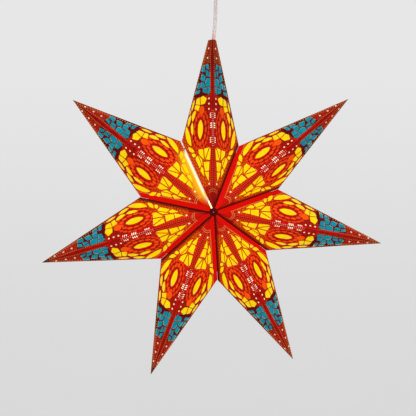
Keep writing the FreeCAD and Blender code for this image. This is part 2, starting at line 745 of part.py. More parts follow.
def make_lamp(doc):
    """Lampholder, its contacts, shade ring and bulb."""
    cylinder = "Cylinder"
    grip_low = "sizes.lamp_top - sizes.grip_length" + DROP
    grip = primitive(doc, cylinder, "holder_grip_barrel", grip_low, STAR,
                     Radius="sizes.grip", Height="sizes.grip_length")
    grip_bore = doc.addObject("Part::Box", "holder_grip_slot")
    grip_bore.setExpression("Length", "sizes.cord_wide")
    grip_bore.setExpression("Width", "sizes.cord_thick")
    grip_bore.setExpression("Height", "sizes.grip_length / 2")
    grip_bore.setExpression("Placement.Base.x", "-sizes.star_aside - sizes.cord_wide / 2")
    grip_bore.setExpression("Placement.Base.y", "-sizes.cord_thick / 2")
    grip_bore.setExpression("Placement.Base.z", grip_low)
    holder_grip = combined(doc, "cut", "holder_cord_grip", grip, grip_bore)

    cap = primitive(doc, "Cone", "cap_outside", CAP_LOW + DROP, STAR,
                    Radius1="sizes.holder", Radius2="sizes.grip",
                    Height="sizes.holder_cap_length")
    cap_hollow = primitive(doc, "Cone", "cap_hollow", CAP_LOW + DROP, STAR,
                           Radius1="sizes.holder - sizes.holder_wall",
                           Radius2="sizes.grip - sizes.holder_wall",
                           Height="sizes.holder_cap_length")
    holder_cap = combined(doc, "cut", "lampholder_cap", cap, cap_hollow)

    skirt = primitive(doc, cylinder, "skirt_outside", SKIRT_LOW + DROP, STAR,
                      Radius="sizes.holder", Height="sizes.holder_length")
    skirt_hollow = primitive(doc, cylinder, "skirt_hollow", SKIRT_LOW + DROP, STAR,
                             Radius="sizes.holder - sizes.holder_wall",
                             Height="sizes.holder_length")
    holder = combined(doc, "cut", "lampholder_skirt", skirt, skirt_hollow)

    ring = primitive(doc, cylinder, "ring_outside",
                     SKIRT_LOW + " + sizes.ring_up" + DROP, STAR,
                     Radius="sizes.ring_reach", Height="sizes.ring_length")
    ring_bore = primitive(doc, cylinder, "ring_bore",
                          SKIRT_LOW + " + sizes.ring_up" + DROP, STAR,
                          Radius="sizes.holder + sizes.fit_gap / 2",
                          Height="sizes.ring_length")
    shade_ring = combined(doc, "cut", "shade_ring", ring, ring_bore)

    core = primitive(doc, cylinder, "contact_block", CORE_LOW + DROP, STAR,
                     Radius="sizes.holder - sizes.holder_wall - sizes.fit_gap / 2",
                     Height="sizes.core_length")
    contact = primitive(doc, cylinder, "centre_contact", BULB_TOP + DROP, STAR,
                        Radius="sizes.contact", Height="sizes.contact_height")
    sleeve = primitive(doc, cylinder, "sleeve_outside", BULB_FOOT + DROP, STAR,
                       Radius="sizes.bulb_cap + sizes.fit_gap + sizes.sleeve_wall",
                       Height="sizes.bulb_cap_length + sizes.contact_height")
    sleeve_bore = primitive(doc, cylinder, "sleeve_bore", BULB_FOOT + DROP, STAR,
                            Radius="sizes.bulb_cap + sizes.fit_gap",
                            Height="sizes.bulb_cap_length + sizes.contact_height")
    contact_sleeve = combined(doc, "cut", "contact_sleeve", sleeve, sleeve_bore)
    screws = [primitive(doc, cylinder, "terminal_screw_%d" % (side + 1),
                        CAP_LOW + " - sizes.core_above" + DROP,
                        "-sizes.star_aside + %d * sizes.holder / 2" % (2 * side - 1),
                        Radius="sizes.screw", Height="sizes.screw_length")
              for side in (0, 1)]
    terminal_screws = combined(doc, "fuse", "terminal_screws", *screws)

    cap_metal = primitive(doc, cylinder, "bulb_screw_cap", BULB_FOOT + DROP, STAR,
                          Radius="sizes.bulb_cap", Height="sizes.bulb_cap_length")
    neck_low = BULB_FOOT + " - sizes.bulb_neck" + DROP
    neck = primitive(doc, "Cone", "bulb_neck_cone", neck_low, STAR,
                     Radius1="sqrt(sizes.bulb_ball ^ 2 - sizes.bulb_rise ^ 2)",
                     Radius2="sizes.bulb_cap", Height="sizes.bulb_neck")
    globe = primitive(doc, "Sphere", "bulb_globe",
                      BULB_FOOT + " - sizes.bulb_neck - sizes.bulb_rise" + DROP,
                      STAR, Radius="sizes.bulb_ball")
    bulb = combined(doc, "fuse", "bulb", globe, neck, cap_metal)
    return [holder_grip, holder_cap, holder, shade_ring, core, contact, contact_sleeve,
            terminal_screws, bulb]


def make_fitting(doc):
    """Ceiling cup with its bracket, side screws, cord grip and terminal block."""
    cylinder = "Cylinder"
    cup = primitive(doc, cylinder, "cup_outside", "-sizes.cup_height",
                    Radius="sizes.cup", Height="sizes.cup_height")
    cup_hollow = primitive(doc, cylinder, "cup_hollow", "sizes.cup_wall - sizes.cup_height",
                           Radius="sizes.cup - sizes.cup_wall", Height="sizes.cup_height")
    cup_mouth = primitive(doc, cylinder, "cup_cord_hole", "-sizes.cup_height",
                          Radius="sizes.grip / 2 + sizes.fit_gap",
                          Height="sizes.cup_height")
    side_holes = []
    for side in (-1, 1):
        hole = doc.addObject("Part::Cylinder", "cup_side_hole_%s" % ("left" if side < 0
                                                                     else "right"))
        hole.setExpression("Radius", "sizes.screw + sizes.fit_gap")
        hole.setExpression("Height", "sizes.cup")
        hole.Placement = FreeCAD.Placement(V(0, 0, 0), FreeCAD.Rotation(V(0, 1, 0),
                                                                        90 * side))
        hole.setExpression("Placement.Base.z", "-sizes.bracket_ear / 2")
        side_holes.append(hole)
    ceiling_cup = combined(doc, "cut", "ceiling_cup", cup, cup_hollow, cup_mouth,
                           *side_holes)

    grip = primitive(doc, cylinder, "ceiling_cord_grip_barrel",
                     "-sizes.cup_height - sizes.grip_length",
                     Radius="sizes.grip", Height="sizes.grip_length")
    neck = primitive(doc, cylinder, "ceiling_cord_grip_neck", "-sizes.cup_height",
                     Radius="sizes.grip / 2", Height="sizes.cup_wall * 2")
    ceiling_grip = combined(doc, "fuse", "ceiling_cord_grip", grip, neck)

    inside = "(sizes.cup - sizes.cup_wall - sizes.fit_gap)"
    strip = box(doc, "bracket_strip", "2 * " + inside, "sizes.bracket_wide",
                "sizes.bracket", "-" + inside, "-sizes.bracket")
    ears = [box(doc, "bracket_ear_left", "sizes.bracket", "sizes.bracket_wide",
                "sizes.bracket_ear", "-" + inside, "-sizes.bracket_ear"),
            box(doc, "bracket_ear_right", "sizes.bracket", "sizes.bracket_wide",
                "sizes.bracket_ear", inside + " - sizes.bracket", "-sizes.bracket_ear")]
    bent = combined(doc, "fuse", "bracket_bent", strip, *ears)
    rounded = primitive(doc, cylinder, "bracket_round", "-sizes.bracket_ear",
                        Radius=inside, Height="sizes.bracket_ear")
    shaped = doc.addObject("Part::Common", "bracket_shaped")
    shaped.Base = bent
    shaped.Tool = rounded
    holes = [primitive(doc, cylinder, "ceiling_hole_%s" % name, "-sizes.bracket",
                       "%d * sizes.ceiling_pitch / 2" % side,
                       Radius="sizes.ceiling_hole", Height="sizes.bracket")
             for name, side in (("left", -1), ("right", 1))]
    tapped = []
    screws = []
    for name, side in (("left", -1), ("right", 1)):
        for kind, radius, start, length in (
                ("tapped", "sizes.screw", "sizes.cup / 2", "sizes.cup / 2"),
                ("screw", "sizes.screw", "sizes.cup - 2 * sizes.bracket - sizes.cup_wall",
                 "2 * sizes.bracket + sizes.cup_wall"),
                ("head", "2 * sizes.screw", "sizes.cup", "sizes.screw")):
            rod = doc.addObject("Part::Cylinder", "cup_%s_%s" % (kind, name))
            rod.setExpression("Radius", radius)
            rod.setExpression("Height", length)
            rod.Placement = FreeCAD.Placement(V(0, 0, 0),
                                              FreeCAD.Rotation(V(0, 1, 0), 90 * side))
            rod.setExpression("Placement.Base.x", "%d * (%s)" % (side, start))
            rod.setExpression("Placement.Base.z", "-sizes.bracket_ear / 2")
            (tapped if kind == "tapped" else screws).append(rod)
    bracket = combined(doc, "cut", "ceiling_bracket", shaped, *(holes + tapped))
    cup_screws = combined(doc, "fuse", "cup_screws", *screws)
    block = box(doc, "terminal_block", "sizes.block_long", "sizes.block_wide",
                "sizes.block_high", "-sizes.block_long / 2",
                "-sizes.bracket - sizes.block_high")
    return [ceiling_cup, ceiling_grip, bracket, cup_screws, block]


def box(doc, name, length, width, height, left, bottom):
    """Part::Box centred on the front-to-back middle."""
    thing = doc.addObject("Part::Box", name)
    thing.setExpression("Length", length)
    thing.setExpression("Width", width)
    thing.setExpression("Height", height)
    thing.setExpression("Placement.Base.x", left)
    thing.setExpression("Placement.Base.y", "-(%s) / 2" % width)
    thing.setExpression("Placement.Base.z", bottom)
    return thing


def main():
    doc = FreeCAD.newDocument("paper_star_lantern")
    size = fill_sheet(doc)
    base = V(-size["star_aside"], 0,
             -size["cord_top"] - size["cup_height"] - size["grip_length"])
    points = [Point(size, index) for index in range(POINTS)]
    subparts = []
    for index in range(POINTS):
        number = index + 1
        for name, shape in (
                ("point_card_%d" % number, make_card(size, points, index)),
                ("amber_lining_%d" % number, make_lining(size, points, index, True)),
                ("turquoise_lining_%d" % number, make_lining(size, points, index, False))):
            subparts.append(solid_feature(doc, name, shape, base))
    for name, front in KNOTS:
        subparts.append(solid_feature(doc, name, make_knot(size, points[0], front), base))
    for name, front, share in TIES:
        subparts.append(solid_feature(doc, name, make_tie(size, points[-1], front, share),
                                      base))
    subparts.append(solid_feature(doc, "cord", make_cord(size), base))
    subparts.append(solid_feature(doc, "cord_stop", make_stop(size, points[0]), base))
    subparts += make_lamp(doc)
    subparts += make_fitting(doc)
    doc.recompute()
    for subpart in subparts:
        subpart.Label = subpart.Name
    faults = [thing.Name for thing in doc.Objects
              if "Invalid" in thing.State or "Error" in thing.State]
    faults += [subpart.Label for subpart in subparts
               if subpart.Shape.isNull() or not subpart.Shape.isValid()
               or not subpart.Shape.Solids]
    if faults:
        raise RuntimeError("failed: " + ", ".join(faults))
    os.makedirs("parts", exist_ok=True)
    for subpart in subparts:
        subpart.Shape.exportStep("parts/%s.step" % subpart.Label)
    print(len(subparts), "sub-parts written")


main()
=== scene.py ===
"""Looks of the seven-pointed paper star lantern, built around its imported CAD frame.

Metres, +Z up, the front of the star faces -Y, origin at the ceiling fitting's flat top.
"""

import math

import bpy
import numpy as np
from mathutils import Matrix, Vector


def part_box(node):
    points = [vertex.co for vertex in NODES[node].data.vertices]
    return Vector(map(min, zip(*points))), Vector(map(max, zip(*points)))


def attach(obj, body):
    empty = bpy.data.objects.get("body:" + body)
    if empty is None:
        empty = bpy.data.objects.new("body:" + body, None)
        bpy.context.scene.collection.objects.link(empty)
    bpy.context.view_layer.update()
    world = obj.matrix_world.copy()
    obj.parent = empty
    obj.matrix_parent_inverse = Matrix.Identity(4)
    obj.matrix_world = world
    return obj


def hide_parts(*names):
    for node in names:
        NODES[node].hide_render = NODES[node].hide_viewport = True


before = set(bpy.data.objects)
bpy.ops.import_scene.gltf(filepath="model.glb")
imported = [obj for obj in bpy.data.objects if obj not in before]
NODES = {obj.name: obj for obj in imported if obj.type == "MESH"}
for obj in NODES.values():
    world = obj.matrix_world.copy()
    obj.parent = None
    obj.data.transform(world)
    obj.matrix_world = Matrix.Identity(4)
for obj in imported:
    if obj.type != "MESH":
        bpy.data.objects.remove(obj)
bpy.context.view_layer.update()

MM = 0.001

# ------------------------------------------------------------ sizes repeated from the CAD

STAR = Vector((-0.004, 0.0, -0.437))
TIP_REACH = 308.0
NOTCH_REACH = 123.0
# Tip bearing, tip share, notch bearing, notch share, clockwise from straight up.
OPENING = (
    (359.7, 1.075, 21.0, 1.01),
    (50.0, 1.005, 70.5, 0.98),
    (100.5, 0.975, 126.0, 0.93),
    (151.5, 0.955, 176.5, 0.97),
    (201.0, 0.995, 228.0, 1.00),
    (253.5, 1.020, 281.5, 1.06),
    (308.5, 1.025, 335.5, 1.10),
)
# The drawn wall, in millimetres: u along the ridge, v from the ridge to the notch.
DRAWN_TIP = 322.0
DRAWN_NOTCH = (130.0, 78.5)
# Pricked holes of the drawn wall: u, v.
PRICKS = ((48.0, 9.8), (174.0, 9.5), (183.0, 9.4), (192.0, 9.3),
          (263.0, 12.0), (279.0, 9.0), (296.0, 6.0))
# The flat twin cord, aside and above the star's centre, in metres.
CORD_WIDE = 0.0064
CORD_THICK = 0.0032
CORD_ROUTE = (
    (0.0, 0.096),
    (-0.0012, 0.150),
    (-0.0019, 0.215),
    (-0.0015, 0.268),
    (0.0002, 0.304),
    (0.0030, 0.328),
    (0.0041, 0.360),
    (0.0040, 0.391),
)

# ------------------------------------------------------------ camera

VIEW_WIDTH = 0.728
VIEW_AIM = Vector((-0.0133, 0.0, -0.430))
CAMERA_AWAY = 2.2
SENSOR = 36.0


def make_camera():
    """A level camera straight in front of the star."""
    data = bpy.data.cameras.new("camera")
    data.sensor_width = SENSOR
    data.lens = SENSOR * CAMERA_AWAY / VIEW_WIDTH
    camera = bpy.data.objects.new("camera", data)
    camera.location = VIEW_AIM - Vector((0.0, CAMERA_AWAY, 0.0))
    camera.rotation_euler = (math.pi / 2, 0.0, 0.0)
    bpy.context.scene.collection.objects.link(camera)
    bpy.context.scene.camera = camera


# ------------------------------------------------------------ mesh helpers


def mesh_object(name, points, faces, material):
    """A smooth mesh of one material, linked to the scene."""
    data = bpy.data.meshes.new(name)
    data.from_pydata([tuple(point) for point in points], [], faces)
    data.validate()
    data.materials.append(material)
    data.shade_smooth()
    piece = bpy.data.objects.new(name, data)
    bpy.context.scene.collection.objects.link(piece)
    return piece


def grid_faces(rows, columns, closed_rows=False):
    """Quads of a grid whose columns close on themselves, and with closed_rows its rows too."""
    faces = []
    for row in range(rows if closed_rows else rows - 1):
        for column in range(columns):
            a = row * columns + column
            b = row * columns + (column + 1) % columns
            c = (a + columns) % (rows * columns)
            d = (b + columns) % (rows * columns)
            faces.append((a, b, d, c))
    return faces


def tube_faces(rows, columns, far_end=True):
    """Faces of a tube with a flat end on its first row and, with far_end, on its last."""
    first = tuple(range(columns))
    last = tuple(range((rows - 1) * columns, rows * columns))
    ends = [first[::-1], last] if far_end else [first[::-1]]
    return grid_faces(rows, columns) + ends


def sweep(line, section, sideways):
    """Points of a section carried along a line, wide along sideways."""
    points = []
    for index, here in enumerate(line):
        ahead = line[min(index + 1, len(line) - 1)]
        behind = line[max(index - 1, 0)]
        along = (ahead - behind).normalized()
        deep = along.cross(sideways).normalized()
        wide = deep.cross(along)
        points += [here + wide * x + deep * y for x, y in section]
    return points


def revolve(outline, centre, turns, ripple=None):
    """Points of (radius, height) pairs turned about a vertical axis.

    ripple gives what is added to the radius at a height and an angle.
    """
    points = []
    for radius, height in outline:
        for step in range(turns):
            angle = 2 * math.pi * step / turns
            reach = radius + (ripple(height, angle) if ripple else 0.0)
            points.append(centre + Vector((reach * math.cos(angle),
                                           reach * math.sin(angle), height)))
    return points


def arc(centre, radius, start, end, steps):
    """(radius, height) points of an arc, by angle in degrees from outward."""
    found = []
    for step in range(steps + 1):
        angle = math.radians(start + (end - start) * step / steps)
        found.append((centre[0] + radius * math.cos(angle),
                      centre[1] + radius * math.sin(angle)))
    return found


# ------------------------------------------------------------ node helpers


class Number:
    """A value in a node tree; Python arithmetic on it adds Math nodes."""

    def __init__(self, tree, socket):
        self.tree = tree
        self.socket = socket

    def calc(self, operation, *values):
        """The result of a Math node with these values."""
        node = self.tree.nodes.new("ShaderNodeMath")
        node.operation = operation
        for slot, value in zip(node.inputs, values):
            feed(self.tree, slot, value)
        return Number(self.tree, node.outputs[0])

    def __add__(self, other):
        return self.calc("ADD", self, other)

    def __sub__(self, other):
        return self.calc("SUBTRACT", self, other)

    def __rsub__(self, other):
        return self.calc("SUBTRACT", other, self)

    def __mul__(self, other):
        return self.calc("MULTIPLY", self, other)

    def __truediv__(self, other):
        return self.calc("DIVIDE", self, other)

    def __abs__(self):
        return self.calc("ABSOLUTE", self)

    def top(self, other):
        """The larger of two values."""
        return self.calc("MAXIMUM", self, other)

    def low(self, other):
        """The smaller of two values."""
        return self.calc("MINIMUM", self, other)

    def cell(self, pitch):
        """Distance from the middle of the nearest cell of this pitch."""
        return (self.calc("FRACT", self / pitch) - 0.5) * pitch

    def ramp(self, start, end):
        """Soft step from 0 at start to 1 at end."""
        node = self.tree.nodes.new("ShaderNodeMapRange")
        node.interpolation_type = "SMOOTHSTEP"
        feed(self.tree, node.inputs["Value"], self)
        node.inputs["From Min"].default_value = start
        node.inputs["From Max"].default_value = end
        return Number(self.tree, node.outputs["Result"])

    def between(self, start, end, soft):
        """1 between start and end, 0 outside, with a fade of twice soft at each."""
        return self.ramp(start - soft, start + soft) * self.ramp(end + soft, end - soft)


def feed(tree, slot, value):
    """Link a Number or a socket to a slot, or set a plain value on it."""
    if isinstance(value, Number):
        tree.links.new(value.socket, slot)
    elif isinstance(value, bpy.types.NodeSocket):
        tree.links.new(value, slot)
    else:
        slot.default_value = value


def length(x, y):
    """Length of a flat vector of two Numbers."""
    return x.calc("SQRT", x * x + y * y)


def mix(tree, factor, below, above):
    """Colour above laid over colour below by factor."""
    node = tree.nodes.new("ShaderNodeMix")
    node.data_type = "RGBA"
    feed(tree, node.inputs[0], factor)
    feed(tree, node.inputs[6], below)
    feed(tree, node.inputs[7], above)
    return node.outputs[2]


def vector_math(tree, operation, *values):
    """A Vector Math node with its first inputs filled."""
    node = tree.nodes.new("ShaderNodeVectorMath")
    node.operation = operation
    for slot, value in zip(node.inputs, values):
        feed(tree, slot, value)
    return node


def scaled(tree, colour, factor):
    """Colour times a factor."""
    node = vector_math(tree, "SCALE", colour)
    feed(tree, node.inputs["Scale"], factor)
    return node.outputs[0]


def added(tree, first, second):
    """Two colours added together."""
    return vector_math(tree, "ADD", first, second).outputs[0]


def noise(tree, place, scale, detail=2.0, stretch=None):
    """Noise from 0 to 1 at a place in metres, scale in lumps a metre."""
    if stretch:
        place = vector_math(tree, "MULTIPLY", place, stretch).outputs[0]
    node = tree.nodes.new("ShaderNodeTexNoise")
    feed(tree, node.inputs["Vector"], place)
    node.inputs["Scale"].default_value = scale
    node.inputs["Detail"].default_value = detail
    return Number(tree, node.outputs[0])


def place_of(tree):
    """Object-space place, in metres."""
    return tree.nodes.new("ShaderNodeTexCoord").outputs["Object"]


def split_place(tree, place):
    """The x, y and z of a place."""
    node = tree.nodes.new("ShaderNodeSeparateXYZ")
    feed(tree, node.inputs[0], place)
    return [Number(tree, socket) for socket in node.outputs]


def surface_of(name, roughness, **plain):
    """A new material, its tree and its main shader, with plain values set on it."""
    material = bpy.data.materials.new(name)
    material.use_nodes = True
    tree = material.node_tree
    shader = tree.nodes["Principled BSDF"]
    shader.inputs["Roughness"].default_value = roughness
    for field, value in plain.items():
        shader.inputs[field.replace("_", " ")].default_value = value
    return material, tree, shader


def bump(tree, shader, height, depth):
    """Relief on a shader: height from 0 to 1, depth in metres."""
    node = tree.nodes.new("ShaderNodeBump")
    node.inputs["Strength"].default_value = 1.0
    node.inputs["Distance"].default_value = depth
    feed(tree, node.inputs["Height"], height)
    tree.links.new(node.outputs["Normal"], shader.inputs["Normal"])


def rgba(red, green, blue):
    """An opaque colour, in linear light."""
    return (red, green, blue, 1.0)


def duller(colour, share):
    """A plain colour with its light brought down to a share."""
    return rgba(*(channel * share for channel in colour[:3]))


# ------------------------------------------------------------ the lamp's glow

BULB_LOW, BULB_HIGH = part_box("bulb")
BULB_RADIUS = (BULB_HIGH.x - BULB_LOW.x) / 2
GLOW_MIDDLE = Vector(((BULB_LOW.x + BULB_HIGH.x) / 2, 0.0, BULB_LOW.z + BULB_RADIUS))
GLOW_REACH = 0.235
GLOW_FALL = 0.9
GLOW_DIM = 0.30
# Share of each paper colour that light from the room shows, and that the lamp shows.
ROOM_SHARE = 0.48
LAMP_SHARE = 0.62
# Colour of the faces that look at the lamp: the paper painted in the lamp's warm light.
LAMPLIT_INSIDE = rgba(1.0, 0.78, 0.36)
# A face looks out where its plane passes this far, in metres, outside the star's centre.
FACING_SOFT = 0.0005


def lamp_glow(tree, place):
    """1 beside the lamp, falling towards GLOW_DIM at the tips."""
    distance = vector_math(tree, "DISTANCE", place, GLOW_MIDDLE).outputs["Value"]
    away = Number(tree, distance) / GLOW_REACH
    fall = away * away * -GLOW_FALL
    return fall.calc("EXPONENT", fall) * (1.0 - GLOW_DIM) + GLOW_DIM


def facing_lamp(tree, place):
    """1 on the faces that look at the lamp, 0 on those that look out of the star."""
    outward = vector_math(tree, "SUBTRACT", place, STAR).outputs[0]
    normal = tree.nodes.new("ShaderNodeNewGeometry").outputs["True Normal"]
    product = vector_math(tree, "DOT_PRODUCT", outward, normal).outputs["Value"]
    return Number(tree, product).ramp(FACING_SOFT, -FACING_SOFT)


def paper_surface(name):
    """Matt paper, for the card and the tissue."""
    return surface_of(name, 0.85, Specular_IOR_Level=0.08)


def lit_paper(tree, shader, colour, glow, inside, inside_colour=LAMPLIT_INSIDE, spill=None):
    """Paper lit by the room, from behind by the lamp, and by light that spills on it; faces that
    look at the lamp get the lamp-lit inside colour.
    """
    shown = mix(tree, inside, colour, inside_colour)
    tree.links.new(scaled(tree, shown, ROOM_SHARE), shader.inputs["Base Color"])
    shine = scaled(tree, shown, glow * LAMP_SHARE)
    if spill:
        shine = added(tree, shine, spill)
    tree.links.new(shine, shader.inputs["Emission Color"])
    shader.inputs["Emission Strength"].default_value = 1.0


# ------------------------------------------------------------ the drawn wall

VALLEY_LENGTH = math.hypot(*DRAWN_NOTCH)
EDGE_ALONG = DRAWN_TIP - DRAWN_NOTCH[0]
EDGE_LENGTH = math.hypot(EDGE_ALONG, DRAWN_NOTCH[1])


def wall_coordinates(tree, place, index):
    """Drawn u, v (millimetres) of a place on the walls of one card, and its side.

    The side is 0 on the right of the ridge, seen from the front, and 1 on the left.
    """
    def corner(bearing, reach):
        turn = math.radians(bearing)
        return reach * math.sin(turn), reach * math.cos(turn)

    def cross(a, b):
        return a[0] * b[1] - a[1] * b[0]

    def dot(a, b):
        return a[0] * b[0] + a[1] * b[1]

    bearing, share, notch_bearing, notch_share = OPENING[index]
    _, _, before_bearing, before_share = OPENING[index - 1]
    tip = corner(bearing, TIP_REACH * share)
    right = corner(notch_bearing, NOTCH_REACH * notch_share)
    left = corner(before_bearing, NOTCH_REACH * before_share)
    x, _, z = split_place(tree, place)
    x = (x - STAR.x) / MM
    z = (z - STAR.z) / MM
    turned = z * tip[0] - x * tip[1]
    across = (turned * (1 / cross(tip, right))).top(turned * (1 / cross(tip, left)))
    side = turned.calc("GREATER_THAN", turned, 0.0)
    squared = dot(tip, tip)
    lean = side * ((dot(left, tip) - dot(right, tip)) / squared) + dot(right, tip) / squared
    along = (x * tip[0] + z * tip[1]) / squared - across * lean
    return along * DRAWN_TIP + across * DRAWN_NOTCH[0], across * DRAWN_NOTCH[1], side


def from_valley(u, v):
    """Distance from the valley between two points of the star."""
    return (u * DRAWN_NOTCH[1] - v * DRAWN_NOTCH[0]) / VALLEY_LENGTH


def down_valley(u, v):
    """Distance from the centre, measured down the valley."""
    return (u * DRAWN_NOTCH[0] + v * DRAWN_NOTCH[1]) / VALLEY_LENGTH


def from_edge(u, v):
    """Distance from the outer edge, from notch to tip."""
    return ((DRAWN_TIP - u) * DRAWN_NOTCH[1] - v * EDGE_ALONG) / EDGE_LENGTH


def oval(u, v, middle, radii):
    """Distance from an oval's middle, 1 on the oval."""
    return length((u - middle[0]) / radii[0], (v - middle[1]) / radii[1])


def dots(along, across, pitch, radius):
    """A row of round dots."""
    return length(along.cell(pitch), across).ramp(radius + 0.3, radius - 0.3)


def bead_ring(u, v, middle, radii, count, bead):
    """Oval ring of beads; bead is half its length and half its width."""
    x = (u - middle[0]) / radii[0]
    y = (v - middle[1]) / radii[1]
    angle = x.calc("ARCTAN2", y, x) / (2 * math.pi)
    size = (radii[0] + radii[1]) / 2
    along = angle.cell(1.0 / count) * (2 * math.pi * size)
    out = (length(x, y) - 1.0) * size
    return length(along / bead[0], out / bead[1]).ramp(1.10, 0.90)


def mosaic(tree, u, v, pitch):
    """Irregular mosaic: distance from a place to its cell's joint, and the cell's tone."""
    place = tree.nodes.new("ShaderNodeCombineXYZ")
    feed(tree, place.inputs[0], u / pitch)
    feed(tree, place.inputs[1], v / pitch)
    found = []
    for feature, output in (("DISTANCE_TO_EDGE", "Distance"), ("F1", "Color")):
        node = tree.nodes.new("ShaderNodeTexVoronoi")
        node.voronoi_dimensions = "2D"
        node.feature = feature
        node.inputs["Scale"].default_value = 1.0
        tree.links.new(place.outputs[0], node.inputs["Vector"])
        found.append(Number(tree, node.outputs[output]))
    return found


# ------------------------------------------------------------ the printed card

BRIGHT_RED = rgba(0.72, 0.003, 0.0)
PLAIN_RED = rgba(0.56, 0.004, 0.0)
DARK_RED = rgba(0.20, 0.002, 0.0)
JOINT_RED = rgba(0.30, 0.003, 0.0)
MAROON = rgba(0.075, 0.0, 0.0)
RED_CELL = rgba(0.80, 0.018, 0.001)
BEAD = rgba(1.0, 0.085, 0.003)
OUTER_BEAD = rgba(0.92, 0.055, 0.002)
DROP = rgba(1.0, 0.10, 0.0)
FAN_ORANGE = rgba(0.92, 0.15, 0.002)
TIP_RED = rgba(0.50, 0.014, 0.002)
TIP_BROWN = rgba(0.36, 0.060, 0.006)
GOLD = rgba(0.95, 0.46, 0.12)
CREAM = rgba(1.0, 0.80, 0.55)

# Ornament of the drawn wall, in its millimetres.
MOSAIC_PITCH = 5.4
# Zones, by start and end along the ridge: orange cells in the fan, beside the valley and
# beside the outer edge, darker cells, maroon round the turquoise windows, the tip's fade.
FAN = (44.0, 110.0)
VALLEY_CELLS = (50.0, 150.0)
EDGE_CELLS = (130.0, 200.0)
DARK_CELLS = (156.0, 200.0)
POOL = (199.0, 253.0)
TIP_FADE = (251.0, 254.0)
# The eye: its middle, and the half sizes of its field and its pupil.
EYE = (143.0, 31.5)
EYE_FIELD = (37.0, 24.0)
EYE_PUPIL = (20.0, 9.4)
# Rings of beads: radii, number of beads, half a bead's length and width, colour.
EYE_RINGS = (((25.0, 14.0), 13, (4.3, 3.4), BEAD),
             ((33.4, 21.0), 22, (3.6, 2.7), OUTER_BEAD))
DROP_MIDDLE = (175.0, 27.0)
DROP_RADII = (7.4, 6.2)
# The red leaf on the ridge, with lines of beads and then of shining dots.
LEAF = (34.0, 176.0)
LEAF_HALF = 7.5
LEAF_BEADS = (34.0, 108.0)
LEAF_GLINTS = (108.0, 170.0)
# Ladders: start and end along the ridge, low and high away from it.
LADDERS = ((115.0, 125.5, 4.4, 7.4), (139.5, 150.0, 1.8, 6.6), (158.0, 166.5, 4.2, 7.2))
RUNG_PITCH = 3.5
# The spine beyond the leaf narrows towards the tip.
SPINE_HALF = 5.6
SPINE_TAPER = 0.085
# The plain heart's radius about the centre, and where its dotted rays start and end.
HEART = 34.0
HEART_RAYS = (14.0, 33.0)
# Width of the bright margin by the valley, and the fade towards it of the painted valley shade.
MARGIN = 9.4
VALLEY_SHADE_FADE = (11.0, 1.5)

PRINT_INPUTS = ("u", "v", "side", "first", "last")
# Cards whose tips are dark, counted from 0: the two lower left points.
DARK_ENDS = (4, 5)
# Light from the slit: colour, where it ends and is full from the valley, and strength.
SPILL_BANDS = ((rgba(0.90, 0.74, 0.02), 27.0, 3.0, 0.62),
               (rgba(1.0, 0.93, 0.66), 7.0, 1.0, 0.9))


class Print:
    """The print of a wall while it is drawn: where a place is, and the colours so far."""

    def __init__(self, tree, inputs):
        self.tree = tree
        self.u, self.v, self.side, self.first, self.last = [
            Number(tree, inputs[name]) for name in PRINT_INPUTS]
        self.grain = noise(tree, inputs["place"], 900.0)
        self.blotch = noise(tree, inputs["place"], 160.0)
        self.valley = from_valley(self.u, self.v)
        self.edge = from_edge(self.u, self.v)
        self.joint, self.tone = mosaic(tree, self.u, self.v, MOSAIC_PITCH)
        self.tip = self.u.ramp(*TIP_FADE)
        self.colour = DARK_RED

    def mixed(self, factor, below, above):
        """Colour above laid over colour below by factor."""
        return mix(self.tree, factor, below, above)

    def lay(self, factor, colour):
        """Lay a colour over the print by factor."""
        self.colour = mix(self.tree, factor, self.colour, colour)

    def gild(self, along, across, pitch, radius, where, strength):
        """Lay a row of gold dots over the print."""
        self.lay(dots(along, across, pitch, radius) * where * strength, GOLD)


def draw_ground(wall):
    """Irregular mosaic of red cells with dark joints, orange towards the rims."""
    u, v = wall.u, wall.v
    warm = (wall.valley.ramp(30.0, 10.0) * u.between(*VALLEY_CELLS, 6.0)).top(
        wall.edge.ramp(12.0, 3.0) * u.between(*EDGE_CELLS, 6.0))
    fan = u.between(*FAN, 3.0) * (v - u * 0.02).ramp(5.0, 9.0)
    cell = wall.mixed(wall.tone, PLAIN_RED, RED_CELL)
    cell = wall.mixed(warm.top(fan) * 0.55, cell, FAN_ORANGE)
    wall.lay(wall.joint.ramp(0.05, 0.13), cell)
    wall.lay(u.between(*DARK_CELLS, 8.0) * 0.5, DARK_RED)
    wall.lay(u.between(*POOL, 1.0) * v.ramp(4.0, 6.0) * 0.9, MAROON)

    # the tip's cells are red, and browner and darker on the first card, as painted shade of the
    # lampholder over the top point
    brown = wall.tone.ramp(0.2, 0.6) * (wall.first * 0.9 + 0.1)
    cell = wall.mixed(u.ramp(286.0, 262.0) * brown, TIP_RED, TIP_BROWN)
    cell = wall.mixed(u.ramp(276.0, 300.0) * (wall.first * 0.4 + 0.4), cell, DARK_RED)
    wall.lay(wall.tip, wall.mixed(wall.joint.ramp(0.04, 0.10), DARK_RED, cell))


def draw_eye(wall):
    """Two rings of beads round the eye, and the large drop beyond it."""
    u, v = wall.u, wall.v
    wall.lay(oval(u, v, EYE, EYE_FIELD).ramp(1.02, 0.97), JOINT_RED)
    wall.lay(oval(u, v, EYE, EYE_PUPIL).ramp(1.04, 0.96), PLAIN_RED)
    for radii, count, bead, ink in EYE_RINGS:
        beads = bead_ring(u, v, EYE, radii, count, bead)
        wall.lay(beads, wall.mixed(wall.tone * 0.6, ink, RED_CELL))
    wall.lay(oval(u, v, DROP_MIDDLE, DROP_RADII).ramp(1.06, 0.92), DROP)


